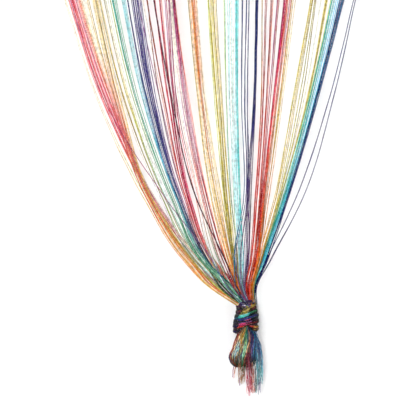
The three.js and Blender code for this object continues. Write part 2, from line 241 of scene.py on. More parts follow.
# Knot: each turn of the bundle has its drop below the neck, radius, half height and lean up to the
# right, the shades of the yarns that lie all round it, and the yarns that show on its front: a shade,
# its place across the ridge from top to foot in hundredths, and the angles from and to, from the front
RIDGE_RELIEF = 2.8
RIDGE_REACH = 1.15
RIDGE_WANDER = (22, 0.16)
SURFACE_WANDER = (14, 0.45)
# painted lustre along the yarns: lighter and darker at random
PAINTED_LUSTRE = (5.0, 0.65)
WOUND_RADIUS = 0.86
WOUND_DEPTH = 0.78
WOUND_STEP = 2.4
FEWEST_POINTS = 8
GROUND_YARNS = 8
GROUND_LAP = 2.05 * math.pi
GROUND_SINK = 1.2
# how dark the yarns under the front ones are: painted shade in the gaps between them
GROUND_PAINTED_SHADE = 0.06
GROUND_UPTAKE = (0.7, 1.3)
BACK_HALF = (math.pi / 2, 3 * math.pi / 2)
GLINT_YARNS = 9
GLINT_SPAN = (0.3, 1.0)
GLINT_SINK = 0.5
GLINT_DEPTH = (0.05, 0.4)
DIVE = 3.0
DIVE_SHARE = 0.12
OPENING_RISE = 7.0
OPENING_ANGLE = 0.5
OPENING_DROP = 43
OPENING_FADE = 10
CORE_SINK = 2.0
CORE_SEGMENTS = 48
WELD = 0.01
Turn = namedtuple("Turn", "drop radius half tilt ground front")
TURNS = [Turn(*row) for row in (
    (-1.5, 21.2, 4.2, 0.2, "",
     "ink -100 -38 26, plum -75 -46 34, ink -55 -44 38, navy -35 -48 40, ink -15 -46 40, plum 5 -50 44, "
     "ink 25 -48 42, teal -85 -30 2, navy 45 -52 44, plum 65 -54 46, ink -60 6 34, olive 30 18 46, "
     "ink 85 -54 46"),
    # the pearl arc on this turn is a painted glint
    (5, 20.8, 4.6, 0.2, "plum navy wine olive plum indigo moss",
     "ink -85 -40 12, teal -75 -42 -12, olive -80 6 40, violet -70 30 60, plum -45 -75 0, "
     "pearl -40 -24 -2, plum -20 -80 -8, khaki 5 -8 80, straw 25 2 34, khaki 50 -14 72, olive 80 -20 60"),
    (13.5, 21.6, 4, 0.25, "plum rust khaki wine plum olive rust",
     "khaki -70 -22 60, umber -50 -26 40, straw -35 -8 24, khaki -10 -26 22, tan 15 -20 16, "
     "olive 45 -38 20, wine -30 26 85, wine 10 24 85, plum 20 -85 -30, plum -30 -80 -24, olive 75 -40 30"),
    (22, 24, 4.4, 0.28, "teal sea moss navy teal green navy",
     "khaki -80 -42 14, sea -50 -40 30, aqua -25 -46 24, ice -2 -34 16, sea 10 -48 22, aqua 28 -44 18, "
     "ice 44 -36 2, sea 65 -46 14, green -45 22 72, moss -15 20 78, teal 20 -82 -40, teal 55 -80 -36"),
    (31, 26, 4.6, 0.26, "navy indigo plum navy moss navy plum",
     "navy -70 -50 70, cobalt -52 -46 34, indigo -40 -48 74, navy -10 -45 20, mauve 15 -12 26, "
     "magenta 40 -8 22, moss 5 24 78, ink 35 22 76, ink 70 -50 20, ink 10 -85 -40"),
    (40, 26.8, 4.6, 0.2, "magenta plum navy wine plum navy wine",
     "grape -75 -45 30, magenta -45 -44 28, hot_pink -20 -38 0, plum -8 -44 10, hot_pink 10 -34 4, "
     "magenta 30 -42 18, wine 48 -44 6, red 64 -36 -10, wine -10 14 64, wine 25 10 60, rust 82 -40 -14, "
     "ink 10 -90 -45, navy 40 -88 -42"),
    (51, 26.2, 6.4, 0.08, "rust wine plum khaki navy plum navy",
     "coral -85 -48 -8, red -65 -46 -10, brick -45 -46 -12, red -50 14 40, red -30 14 34, gold -70 24 66, "
     "khaki -45 28 76, gold -20 30 70, rust 10 26 76, plum 10 -92 -48, ink 35 -94 -50, navy 60 -92 -50, "
     "plum 85 -90 -52, khaki 40 32 80"),
    (57.5, 21.5, 2.6, 0.05, "navy plum moss indigo wine navy plum",
     "navy -60 -100 -56, indigo -20 -104 -58, plum 20 -100 -60, moss 60 -100 -62, rust -40 44 90, "
     "moss 0 46 96, wine 40 48 92"),
)]
KNOT_TOP_RADIUS = 13
KNOT_TOP_RISE = 2.5
KNOT_FOOT_DROP = 60
KNOT_FOOT_RADIUS = 15

# Tail: rings of the folded bulb, each with its drop below the neck, half width, half depth and middle
# across and in depth, and its locks: angles from and to, from the front, with the shades of their yarns
# under the knot, on the bulb's side and in the fold at its foot. Drops give where the shades follow one
# another, and the painted light and shade on the yarns: painted shade under the knot, lighter on the
# bulb's side, and painted shade in the fold
Ring = namedtuple("Ring", "drop across deep x y")
TAIL_RINGS = [Ring(*row) for row in (
    (40, 2, 2, 1, -20),
    (47, 6, 5.5, 1, -22.5),
    (54, 13, 10, 1, -18),
    (60, 19.5, 15, 1, -12.5),
    (72, 23, 19, 0, -9),
    (90, 25.5, 22, -3.5, -6),
    (107, 28.5, 23, -7, -4),
    (118, 26, 21, -7, -3),
    (125, 16, 13, -6, -2),
    (121, 8, 6, -6, -2),
)]
TAIL_YARNS = 230
TAIL_RADIUS = 0.7
LOCK_GATHER = 0.85
LOCK_RELIEF = 2.2
TAIL_SINK = 0.5
TAIL_LOOSE = 3.4
LEAST_HALF = 0.3
TAIL_TURNING = (35, 0.18)
TAIL_WAVE = (6, 0.04)
TAIL_CRIMP = (8, 0.55)
TAIL_SWELL = (25, 1.0)
TAIL_FOLD = (-5.0, 3.0)
FOLD_FROM = 0.55
FOLD_SHARE = 0.3
TAIL_DARK = 0.25
TAIL_DEPTH = 0.95
TAIL_UPTAKE = (0.85, 1.15)
# painted light along the tail: painted shade under the knot and in the fold, lighter on the bulb's side
TAIL_PAINTED_LIGHT = ((52, 0.35), (66, 0.9), (84, 1.2), (100, 1.2), (114, 0.5))
TAIL_CHANGES = (66, 82, 98, 112)
CHANGE_SPREAD = 7
DARK_SHADES = "plum navy moss rust wine indigo"
TAIL_CORE_SINK = 3.0
TAIL_CORE_SEGMENTS = 36
TAIL_STEP = 2.6
Lock = namedtuple("Lock", "start end crown side foot")
LOCKS = [Lock(*row) for row in (
    (-180, -150, "rust brick plum", "rust brick khaki plum", "moss rust"),
    (-150, -128, "sea teal plum", "sea teal plum moss", "moss plum"),
    (-128, -112, "navy indigo", "navy indigo slate", "navy plum"),
    (-112, -90, "wine plum", "mauve wine plum", "teal rust"),
    (-90, -66, "wine plum rust", "blush cream wine tan", "teal navy rust moss"),
    (-66, -52, "wine rust tan", "blush milk rust tan", "rust wine khaki"),
    (-52, -36, "tan rust khaki", "ice jade mist", "moss rust khaki"),
    (-36, -24, "tan gold rust brick", "rust taupe tan brick", "rust moss plum"),
    (-24, -17, "khaki tan olive", "jade khaki tan", "moss olive"),
    (-17, 10, "green moss teal sea", "lime jade mist lime jade", "moss teal moss green"),
    (10, 12, "teal rust", "rust wine", "wine moss"),
    (12, 23, "taupe rust moss", "blush taupe tan rust", "wine rust brick"),
    (23, 29, "plum navy", "rust plum", "wine plum"),
    (29, 41, "navy plum ink", "navy violet plum navy", "wine plum mauve"),
    (41, 56, "navy indigo", "slate violet teal sky", "plum navy slate"),
    (56, 75, "teal navy", "teal moss teal navy", "navy teal"),
    (75, 90, "slate teal", "slate teal slate", "slate navy"),
    (90, 110, "slate teal", "slate ice teal", "teal slate"),
    (110, 130, "navy slate", "sky slate navy", "navy teal"),
    (130, 150, "wine magenta", "magenta wine rose", "plum wine"),
    (150, 165, "khaki olive", "gold khaki olive", "moss olive"),
    (165, 180, "moss sea", "green sea moss", "moss plum"),
)]

# Loose ends in bunches: [across, depth, drop] where a bunch is rooted in the bulb, where it bends and
# where its longest strand ends, with its strands' shades from root to tip
END_PITCH = 1.35
ROOT_PITCH = 0.7
SHORTEST_END = 0.55
LENGTH_BIAS = 0.8
END_RADIUS = 0.5
END_STEP = 2.0
END_CRIMP = (9.0, 1.0)
END_SWAY = (45.0, 1.6)
GOLDEN_ANGLE = math.pi * (3 - math.sqrt(5))
Bunch = namedtuple("Bunch", "strands root bend tip shades")
# dark root shades (pine, umber, plum) are painted shade under the bulb
BUNCHES = [Bunch(*row) for row in (
    (5, (-18, 2, 108), (-22, 3, 128), (-25, 4, 152), "taupe/blush blush/mauve tan/blush"),
    (9, (-12, -22, 102), (-13, -19, 126), (-13, -7, 167),
     "umber/rust/taupe umber/tan pine/umber/mauve wine/tan"),
    (12, (-5, -23, 98), (-6, -20, 124), (-7, 3, 163),
     "pine/moss/peach pine//straw umber/rust/blush moss/pine/tan"),
    (14, (2, -24, 96), (4, -22, 122), (6, -8, 187),
     "plum/wine/pink/ umber/plum/rose/pink wine/pink plum/umber/magenta/blush"),
    (12, (7, -12, 104), (10, -9, 128), (11, 5, 182), "umber/rose taupe/pink wine/blush plum/rose/pink"),
    (8, (12, -12, 98), (16, -11, 124), (18, -2, 181), "slate taupe/blush moss/taupe"),
    (24, (15, -12, 50), (24, -10, 86), (29, -6, 162),
     "teal/slate/mist slate//ice navy//jade teal/cobalt/ice slate/sky/ice slate//aqua navy/teal/aqua"),
    (14, (16, -2, 56), (24, 2, 98), (24, 6, 191),
     "slate navy/slate teal/slate/mist slate/violet navy/aqua"),
)]

# Looks of yarn, tape, packed bundle and paper
# Groove sets the painted shade between plies, Flecks the pale flecks with painted glints
STRING_LOOK = {"Groove Shade": 0.3, "Flecks": 0.5, "Gloss": 0.0}
WOUND_LOOK = {"Groove Shade": 0.6, "Flecks": 0.25, "Gloss": 0.1}
# white of the pale flecks, lightened as a painted glint
GLINT_FLECK_WHITE = (1, 0.98, 0.95, 1)
FIBRE_HEIGHT = 0.5
YARN_ROUGHNESS = 0.78
RIDGE_POLISH = 0.25
FLECK_POLISH = 0.2
COTTON = (0.78, 0.72, 0.62, 1)
CLOUD_TONE = 0.12
COTTON_SLUB_HEIGHT = 0.4
PACKED_SHADOW = (0.01, 0.01, 0.015, 1)
# inside colours of knot and tail, near black as painted shade deep in the bundle
KNOT_INSIDE_SHADE = (0.08, 0.05, 0.09, 1)
TAIL_INSIDE_SHADE = (0.07, 0.06, 0.05, 1)
PAPER_WHITE = (0.9, 0.9, 0.9, 1)

# Studio: a white wall close behind the curtain, with lights of its own that leave the yarns' shades be
WALL_Y = 31
FLOOR_Z = -1900
STAGE_REACH = 6000
CAMERA_PLACE = (-2, -3200, -1200)
CAMERA_LENS = 144
CAMERA_REACH = 100000
KEY_FROM = (-0.26, -0.91, 0.32)
BACK_FROM = (0.3, 0.9, 0.32)
WALL_LIGHT_FROM = (-0.22, -0.95, 0.2)
LIGHT_SOFTNESS = 0.35
WORLD_LIGHT = 0.32
WORLD_SEEN = 0.8

Yarn = namedtuple("Yarn", "points radius shade across")
ACROSS_X = np.array([1.0, 0.0, 0.0])
UP = np.array([0.0, 0.0, 1.0])


# Yarns


def linear(name):
    """A shade's linear colour, as deep as its dye."""
    code = SHADES[name]
    parts = np.array([int(code[i:i + 2], 16) / 255 for i in (1, 3, 5)])
    parts = np.where(parts <= 0.04045, parts / 12.92, ((parts + 0.055) / 1.055) ** 2.4)
    return parts.max() * (parts / parts.max()) ** DYE_STRENGTH


def dyed(names, heights, top, foot):
    """Colours down a yarn: its shades follow one another from one height to another."""
    shades = []
    for name in names.split("/"):
        shades.append(linear(name) if name else shades[-1])
    places = np.linspace(foot, top, len(shades))
    return np.column_stack([np.interp(heights, places, part) for part in np.transpose(shades[::-1])])


def uneven(rng, along, length, size=1.0):
    """Smooth random values along a yarn, up to a size either way, with a wavelength near the length."""
    knots = int(along[-1] / length) + 4
    places = np.arange(knots) * length - length * rng.random()
    values = rng.uniform(-1, 1, knots)
    nearest = np.clip(((along - places[0]) / length).astype(int), 0, knots - 2)
    share = np.clip((along - places[nearest]) / length, 0, 1)
    share = share * share * (3 - 2 * share)
    return size * (values[nearest] * (1 - share) + values[nearest + 1] * share)


def run_of(points):
    """Distance along a path at each of its points."""
    return np.concatenate([[0.0], np.cumsum(np.linalg.norm(np.diff(points, axis=0), axis=1))])


def smooth_curve(places, values, at, first_lean=1.0):
    """A smooth curve through values at rising places, with its lean at the start held back by a share."""
    lean = np.gradient(values, places, axis=0)
    lean[0] *= first_lean
    i = np.clip(np.searchsorted(places, at, side="right") - 1, 0, len(places) - 2)
    gap = (places[i + 1] - places[i])[:, None]
    f = (at - places[i])[:, None] / gap
    curve = values[i] * (1 + 2 * f) * (1 - f) ** 2 + values[i + 1] * f * f * (3 - 2 * f)
    return curve + lean[i] * gap * f * (1 - f) ** 2 + lean[i + 1] * gap * f * f * (f - 1)


def falling_path(stations, step):
    """A smooth path that falls through its stations, with a point for about every step of height."""
    drop = -stations[:, 2]
    drops = np.linspace(drop[0], drop[-1], int((drop[-1] - drop[0]) / step) + 2)
    return np.column_stack([smooth_curve(drop, stations[:, :2], drops, ROOT_LEAN), -drops])


def wandering(rng, points, length, size):
    """The path with small sideways kinks that fade out at both ends."""
    along = run_of(points)
    fade = np.minimum(1, np.minimum(along, along[-1] - along) / length)
    for axis in (0, 1):
        points[:, axis] += fade * uneven(rng, along, length, size)
    return points


def lustrous(rng, points, shade):
    """A yarn's shade down its length, lighter and darker at random as painted lustre that comes and goes.
    """
    painted_gleam = 1 + uneven(rng, run_of(points), *PAINTED_LUSTRE)
    return np.clip(painted_gleam[:, None] * shade, 0, 1)


def swelling(rng, along):
    """How much thicker or thinner than its mean the yarn is along its length."""
    swell = 1 + uneven(rng, along, SLUB_LENGTH, UNEVEN)
    for place in rng.uniform(0, along[-1], int(along[-1] / SLUB_GAP) + 1):
        swell += SLUB_SWELL * rng.random() * np.exp(-(((along - place) / SLUB_LENGTH) ** 2))
    swell[0] *= END_TAPER
    swell[-1] *= END_TAPER
    return swell


def yarn_rings(rng, yarn):
    """Corner points of the turning section, ring by ring, and the distance along the yarn."""
    along = run_of(yarn.points)
    ahead = np.gradient(yarn.points, axis=0)
    ahead /= np.linalg.norm(ahead, axis=1, keepdims=True)
    side = yarn.across - ahead * (ahead @ yarn.across)[:, None]
    side /= np.linalg.norm(side, axis=1, keepdims=True)
    front = np.cross(ahead, side)
    turn = along[:, None] / LAY_LENGTH + rng.random() + np.arange(YARN_SIDES) / YARN_SIDES
    angle = 2 * math.pi * turn[..., None]
    radius = (yarn.radius * swelling(rng, along))[:, None, None]
    corners = np.cos(angle) * side[:, None, :] + np.sin(angle) * front[:, None, :]
    return yarn.points[:, None, :] + radius * corners, along


def side_quads(rings):
    """Corner numbers of the faces round one yarn, with the ring and side of each."""
    ring, side = np.divmod(np.arange((rings - 1) * YARN_SIDES), YARN_SIDES)
    after = (side + 1) % YARN_SIDES
    low = ring * YARN_SIDES
    quads = np.stack([low + side, low + after, low + YARN_SIDES + after, low + YARN_SIDES + side], axis=1)
    return quads, ring, side


def yarn_maps(ring, side, along, row, rows, strips):
    """Two maps of a yarn's faces: round and along the yarn, and strips laid out on a square for baking."""
    right, far = np.array([0, 1, 1, 0]), np.array([0, 0, 1, 1])
    round_it = (side[:, None] + right) / YARN_SIDES
    twist = np.stack([round_it, along[ring[:, None] + far] * MM], axis=2)
    steps = math.ceil((len(along) - 1) / strips)
    strip = row * strips + ring[:, None] // steps
    place = (ring[:, None] % steps + far) / steps
    height = strip + STRIP_MARGIN + round_it * (1 - 2 * STRIP_MARGIN)
    return twist, np.stack([place, height / (rows * strips)], axis=2)


def yarns_piece(name, yarns, material, seed, strips=1):
    """One mesh of many yarns, each a closed tube with its own shade."""
    rng = np.random.default_rng(seed)
    yarns = list(yarns)
    points, faces, twist, bake, shades = [], [], [], [], []
    first = 0
    for row, yarn in enumerate(yarns):
        rings, along = yarn_rings(rng, yarn)
        quads, ring, side = side_quads(len(rings))
        last = (len(rings) - 1) * YARN_SIDES
        ends = np.array([np.arange(YARN_SIDES)[::-1], last + np.arange(YARN_SIDES)])
        laid, strip = yarn_maps(ring, side, along, row, len(yarns), strips)
        points.append(rings.reshape(-1, 3) * MM)
        faces.append(first + np.concatenate([quads, ends]))
        twist.append(np.concatenate([laid, laid[[0, -1]]]))
        bake.append(np.concatenate([strip, strip[[0, -1]]]))
        dye = np.broadcast_to(yarn.shade, (len(rings), 3))
        shades.append(np.repeat(np.column_stack([dye, np.ones(len(rings))]), YARN_SIDES, axis=0))
        first += len(rings) * YARN_SIDES
    mesh = bpy.data.meshes.new(name)
    mesh.from_pydata(np.concatenate(points).tolist(), [], np.concatenate(faces).tolist())
    mesh.polygons.foreach_set("use_smooth", np.ones(len(mesh.polygons), bool))
    for map_name, laid in (("twist", twist), ("OFBake", bake)):
        layer = mesh.uv_layers.new(name=map_name)
        layer.uv.foreach_set("vector", np.concatenate(laid).ravel().astype(np.float32))
    shade = mesh.color_attributes.new("shade", "FLOAT_COLOR", "POINT")
    shade.data.foreach_set("color", np.concatenate(shades).ravel().astype(np.float32))
    mesh.materials.append(material)
    return placed(name, mesh)


def mesh_piece(name, shape, material, smooth=True):
    """A finished bmesh as a piece."""
    mesh = bpy.data.meshes.new(name)
    for face in shape.faces:
        face.smooth = smooth
    shape.to_mesh(mesh)
    shape.free()
    mesh.materials.append(material)
    return placed(name, mesh)


def placed(name, data):
    """A new object in the scene."""
    made = bpy.data.objects.new(name, data)
    bpy.context.scene.collection.objects.link(made)
    return made


# Materials


def wired(tree, node, inlets):
    """The node with each inlet set to a plain value or linked to another node's outlet."""
    for name, value in inlets.items():
        if isinstance(value, bpy.types.NodeSocket):
            tree.links.new(value, node.inputs[name])
        else:
            node.inputs[name].default_value = value
    return node


def new_node(tree, kind, inlets=None, **settings):
    """A new node with its settings, and with its inlets wired."""
    node = tree.nodes.new(f"ShaderNode{kind}")
    for name, setting in settings.items():
        setattr(node, name, setting)
    return wired(tree, node, inlets or {})


def maths(tree, operation, *values):
    return new_node(tree, "Math", dict(enumerate(values)), operation=operation).outputs[0]


def blended(tree, blend, share, first, second):
    inlets = {0: share, 6: first, 7: second}
    return new_node(tree, "Mix", inlets, data_type="RGBA", blend_type=blend).outputs[2]


def noise(tree, place, scale, detail=2.0):
    """Cloudy values with a scale in waves a metre."""
    return new_node(tree, "TexNoise", {"Vector": place, "Scale": scale, "Detail": detail}).outputs["Fac"]


def spread(tree, value, low, high, to_low=0.0, to_high=1.0):
    """A value carried over from one range to another."""
    inlets = {"Value": value, "From Min": low, "From Max": high, "To Min": to_low, "To Max": to_high}
    return new_node(tree, "MapRange", inlets).outputs["Result"]


def bumped(tree, height, depth, strength=1.0):
    """Normals of a surface with relief of the given depth in millimetres."""
    inlets = {"Height": height, "Distance": depth * MM, "Strength": strength}
    return new_node(tree, "Bump", inlets).outputs["Normal"]


def twisted_yarn_group():
    """Plies turning round the yarn, painted shade in their grooves, uneven dye, pale flecks with painted
    glints.
    """
    group = bpy.data.node_groups.new("twisted_yarn", "ShaderNodeTree")
    inlets = {"Shade": "Color", "Groove Shade": "Float", "Flecks": "Float", "Gloss": "Float"}
    outlets = {"Colour": "Color", "Roughness": "Float", "Height": "Float"}
    for way, sockets in (("INPUT", inlets), ("OUTPUT", outlets)):
        for name, kind in sockets.items():
            group.interface.new_socket(name=name, in_out=way, socket_type=f"NodeSocket{kind}")
    given = group.nodes.new("NodeGroupInput").outputs
    laid = new_node(group, "UVMap", uv_map="twist").outputs["UV"]
    round_it = new_node(group, "SeparateXYZ", {0: laid}).outputs["X"]
    place = new_node(group, "TexCoord").outputs["Object"]
    ply = maths(group, "COSINE", maths(group, "MULTIPLY", round_it, 2 * math.pi * YARN_SIDES))
    ridge = spread(group, ply, -1, 1)
    # pale flecks on the ply crests: pale lustrous fibre whitened as painted glints
    glint_fleck = spread(group, noise(group, place, scale=350), low=0.6, high=0.66)
    glint_fleck = maths(group, "MULTIPLY", maths(group, "MULTIPLY", glint_fleck, ridge), given["Flecks"])
    # darker between the plies: painted shade in the grooves
    groove_shade = maths(group, "MULTIPLY", maths(group, "SUBTRACT", 1.0, ridge), given["Groove Shade"])
    tone = spread(group, noise(group, place, scale=160), low=0.36, high=0.64, to_low=0.62, to_high=1.15)
    tone = maths(group, "MULTIPLY", tone, maths(group, "SUBTRACT", 1.0, groove_shade))
    toned = blended(group, "MULTIPLY", 1.0, given["Shade"], tone)
    matte = maths(group, "SUBTRACT", YARN_ROUGHNESS, maths(group, "MULTIPLY", ridge, RIDGE_POLISH))
    matte = maths(group, "SUBTRACT", matte, given["Gloss"])
    fibres = maths(group, "MULTIPLY", noise(group, place, scale=2600, detail=3), FIBRE_HEIGHT)
    wired(group, group.nodes.new("NodeGroupOutput"), {
        "Colour": blended(group, "MIX", glint_fleck, toned, GLINT_FLECK_WHITE),
        "Roughness": maths(group, "SUBTRACT", matte, maths(group, "MULTIPLY", glint_fleck, FLECK_POLISH)),
        "Height": maths(group, "ADD", ridge, fibres),
    })
    return group


def new_material(name):
    """A material with its node tree and the shader in it."""
    material = bpy.data.materials.new(name)
    material.use_nodes = True
    tree = material.node_tree
    return material, tree, tree.nodes["Principled BSDF"]


def yarn_material(name, group, look):
    """Twisted yarn in the shades that its mesh carries."""
    material, tree, shader = new_material(name)
    shade = new_node(tree, "Attribute", attribute_name="shade").outputs["Color"]
    yarn = new_node(tree, "Group", {"Shade": shade, **look}, node_tree=group).outputs
    wired(tree, shader, {
        "Base Color": yarn["Colour"],
        "Roughness": yarn["Roughness"],
        "Specular IOR Level": 0.2,
        "Normal": bumped(tree, yarn["Height"], depth=0.2, strength=0.5),
    })
    return material


def rib(tree, place, pitch):
    """A wave across one set of a weave's threads."""
    return maths(tree, "SINE", maths(tree, "MULTIPLY", place, 2 * math.pi / (pitch * MM)))


def tape_material():
    """A plain rib weave in undyed cotton."""
    material, tree, shader = new_material("heading_tape")
    place = new_node(tree, "TexCoord").outputs["Object"]
    apart = new_node(tree, "SeparateXYZ", {0: place}).outputs
    over = maths(tree, "MULTIPLY", rib(tree, apart["X"], pitch=1.1), rib(tree, apart["Z"], pitch=0.8))
    weave = spread(tree, over, -1, 1)
    cloudy = maths(tree, "MULTIPLY", noise(tree, place, scale=45), CLOUD_TONE)
    slub = noise(tree, place, scale=900, detail=3)
    tone = maths(tree, "ADD", spread(tree, weave, 0, 1, to_low=0.8, to_high=1.0), cloudy)
    height = maths(tree, "ADD", weave, maths(tree, "MULTIPLY", slub, COTTON_SLUB_HEIGHT))
    wired(tree, shader, {
        "Base Color": blended(tree, "MULTIPLY", 1.0, COTTON, tone),
        "Roughness": spread(tree, slub, low=0.3, high=0.7, to_low=0.75, to_high=0.95),
        "Specular IOR Level": 0.25,
        "Sheen Weight": 0.2,
        "Normal": bumped(tree, height, depth=0.3, strength=0.6),
    })
    return material


def core_material(name, colour):
    """Packed yarn deep in the bundle, seen only between the yarns on it, dark as its painted shade."""
    material, tree, shader = new_material(name)
    place = new_node(tree, "TexCoord").outputs["Object"]
    fibres = noise(tree, place, scale=700, detail=4)
    wired(tree, shader, {
        "Base Color": blended(tree, "MIX", fibres, PACKED_SHADOW, colour),
        "Roughness": 0.95,
        "Normal": bumped(tree, fibres, depth=0.5),
    })
    return material


def backdrop_material(name, see_through_back):
    """Plain white paper; a wall sheet is seen from its front alone, so it hides nothing from behind."""
    material, tree, shader = new_material(name)
    wired(tree, shader, {"Base Color": PAPER_WHITE, "Roughness": 0.9, "Specular IOR Level": 0.0})
    if see_through_back:
        back = new_node(tree, "NewGeometry").outputs["Backfacing"]
        clear = new_node(tree, "BsdfTransparent").outputs[0]
        either = new_node(tree, "MixShader", {0: back, 1: shader.outputs[0], 2: clear}).outputs[0]
        wired(tree, tree.nodes["Material Output"], {"Surface": either})
    return material


# Strings


def hung(piece, slot, node=None):
    """A finished piece of the curtain: it hangs with the part and may stand for a node."""
    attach(piece, "root")
    if node:
        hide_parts(node)
    return piece


def string_stations(colour, number, count, aside, root_x, rng):
    """Places that one string passes, from its root to where it is tucked into the knot."""
    column, row = colour.neck
    columns = math.ceil(count / colour.layers)
    layer = number % colour.layers - (colour.layers - 1) / 2
    neck_x = column * CELL + (number // colour.layers - (columns - 1) / 2) * min(NECK_PITCH, CELL / columns)
    stations = [(root_x, 0, ROOT_Z)]
    for level, z in LEVELS.items():
        centre, width = getattr(colour, level)
        fallen = (z - ROOT_Z) / (NECK_Z - ROOT_Z)
        x = KNOT_X + centre + width * (aside + STRAY[level] * rng.uniform(-1, 1))
        stations.append((x, fallen * row * CELL + layer * LAYER_PITCH, z))
    neck_y = row * CELL + layer * NECK_PITCH
    neck_z = NECK_Z + NECK_TILT * neck_x
    stations.append((KNOT_X + neck_x, neck_y, neck_z))
    stations = np.array(stations, float)
    last = stations[-1] - stations[-2]
    return np.vstack([stations, stations[-1] - last * NECK_TUCK / last[2]])


def string_dye(rng, names, heights):
    """A string's colours down its length: deeper in dye and painted shade where the strings gather, and
    painted shade at the throat.
    """
    tint = dyed(names, heights, *SHADE_CHANGE)
    uptake = rng.uniform(*DYE_UPTAKE)
    tint *= uptake + (PALE_UPTAKE - uptake) * tint.min(axis=1, keepdims=True)
    # deeper and more saturated lower down: deeper dye together with painted shade of the gathered bundle
    depth = np.interp(heights, (DEEPER_TO, DEEPER_FROM), (1 + DEEPER_DYE_AND_SHADE, 1))[:, None]
    # darker at the throat: painted shade
    packed = np.interp(heights, (NECK_Z, DEEPER_TO), (THROAT_SHADE, 1))[:, None]
    return packed * np.clip(tint, 0, 1) ** depth


def binding_thread(left, right):
    """The thread that is wound over one colour's roots."""
    turns = (right - left) / BINDING_PITCH
    t = np.linspace(0, 1, int(turns * POINTS_A_TURN) + 2)
    middle, half = (BINDING_TOP + BINDING_FOOT) / 2, (BINDING_TOP - BINDING_FOOT) / 2
    angle = 2 * math.pi * turns * t
    x = left + (right - left) * t
    points = np.column_stack([x, -BINDING_DEPTH * np.cos(angle), middle + half * np.sin(angle)])
    return Yarn(points, THREAD_RADIUS, linear("cream"), ACROSS_X)


def string_yarns(colour, left, right, rng):
    """One colour's strings, with their roots side by side, and the thread over the roots."""
    laid = [entry.split() for entry in colour.strings.split(",")]
    for number, (shades, place) in enumerate(laid):
        root_x = left + (number + 0.5) * (right - left) / len(laid)
        stations = string_stations(colour, number, len(laid), float(place) / 100, root_x, rng)
        points = wandering(rng, falling_path(stations, RING_PITCH), *STRING_WANDER)
        yield Yarn(points, YARN_RADIUS, string_dye(rng, shades, points[:, 2]), ACROSS_X)
    if colour.roots:
        yield binding_thread(left + BINDING_INSET, right - BINDING_INSET)


def hang_strings(materials):
    """All colours from left to right, each with its own length of the heading."""
    pitch = CURTAIN_WIDTH / sum(colour.roots for colour in COLOURS)
    right = -CURTAIN_WIDTH / 2
    for number, colour in enumerate(COLOURS):
        left, right = right, right + colour.roots * pitch
        yarns = string_yarns(colour, left, right, np.random.default_rng(LAID["strings"] + number))
        node, slot = f"strings_{colour.name}", f"yarn_{colour.dye}"
        seed = SPUN["strings"] + number
        piece = yarns_piece(f"{node}_yarns", yarns, materials[slot], seed, STRING_STRIPS)
        hung(piece, slot, node if colour.roots else None)


# Heading


def heading_tape(material):
    """A flat tape with its long edges rounded."""
    shape = bmesh.new()
    bmesh.ops.create_cube(shape, size=1)
    size = (CURTAIN_WIDTH * MM, TAPE_THICKNESS * MM, TAPE_HEIGHT * MM)
    bmesh.ops.scale(shape, vec=size, verts=shape.verts)
    bmesh.ops.translate(shape, vec=(0, 0, -TAPE_HEIGHT * MM / 2), verts=shape.verts)
    long_edges = [e for e in shape.edges if abs(e.verts[0].co.x - e.verts[1].co.x) > MM]
    bmesh.ops.bevel(shape, geom=long_edges, offset=TAPE_ROUNDING * MM, offset_type="OFFSET",
                    affect="EDGES", segments=ROUNDING_STEPS, profile=0.5, material=-1)
    return mesh_piece("heading_tape", shape, material)


def stitch_yarns():
    """One row of sewing along the tape's foot, on both of its faces."""
    end = CURTAIN_WIDTH / 2 - STITCH_PITCH
    t = np.linspace(0, 1, STITCH_POINTS)
    rise = TAPE_THICKNESS / 2 + STITCH_RISE * np.sin(math.pi * t) - STITCH_SINK
    foot = np.full(STITCH_POINTS, -STITCH_DROP)
    for side in (-1, 1):
        for x in np.arange(-end, end, STITCH_PITCH):
            points = np.column_stack([x + STITCH_LENGTH * t, side * rise, foot])
            yield Yarn(points, THREAD_RADIUS, linear("cream"), UP)


# Knot


def wound_arc(rng, turn, place, start, end, sink):
    """A yarn that lies on a turn's ridge from one angle to another and dives under at both ends."""
    span = end - start
    theta = np.linspace(start, end, max(FEWEST_POINTS, int(abs(span) * turn.radius / WOUND_STEP)))
    share = (theta - start) / span
    along = np.abs(theta - start) * turn.radius
    ridge = RIDGE_REACH * place + uneven(rng, along, *RIDGE_WANDER)
    ends = np.clip(1 - np.minimum(share, 1 - share) / DIVE_SHARE, 0, 1)
    out = turn.radius - RIDGE_RELIEF * (1 - np.cos(ridge)) - sink - DIVE * ends ** 2
    out += uneven(rng, along, *SURFACE_WANDER)
    front = np.exp(-((np.arctan2(np.sin(theta), np.cos(theta)) / OPENING_ANGLE) ** 2))
    below = max(0.0, (turn.drop + turn.half * place - OPENING_DROP) / OPENING_FADE)
    x = out * np.sin(theta)
    z = NECK_Z - turn.drop - turn.half * np.sin(ridge) + turn.tilt * x + OPENING_RISE * front * below
    return np.column_stack([KNOT_X + x, -out * np.cos(theta), z])


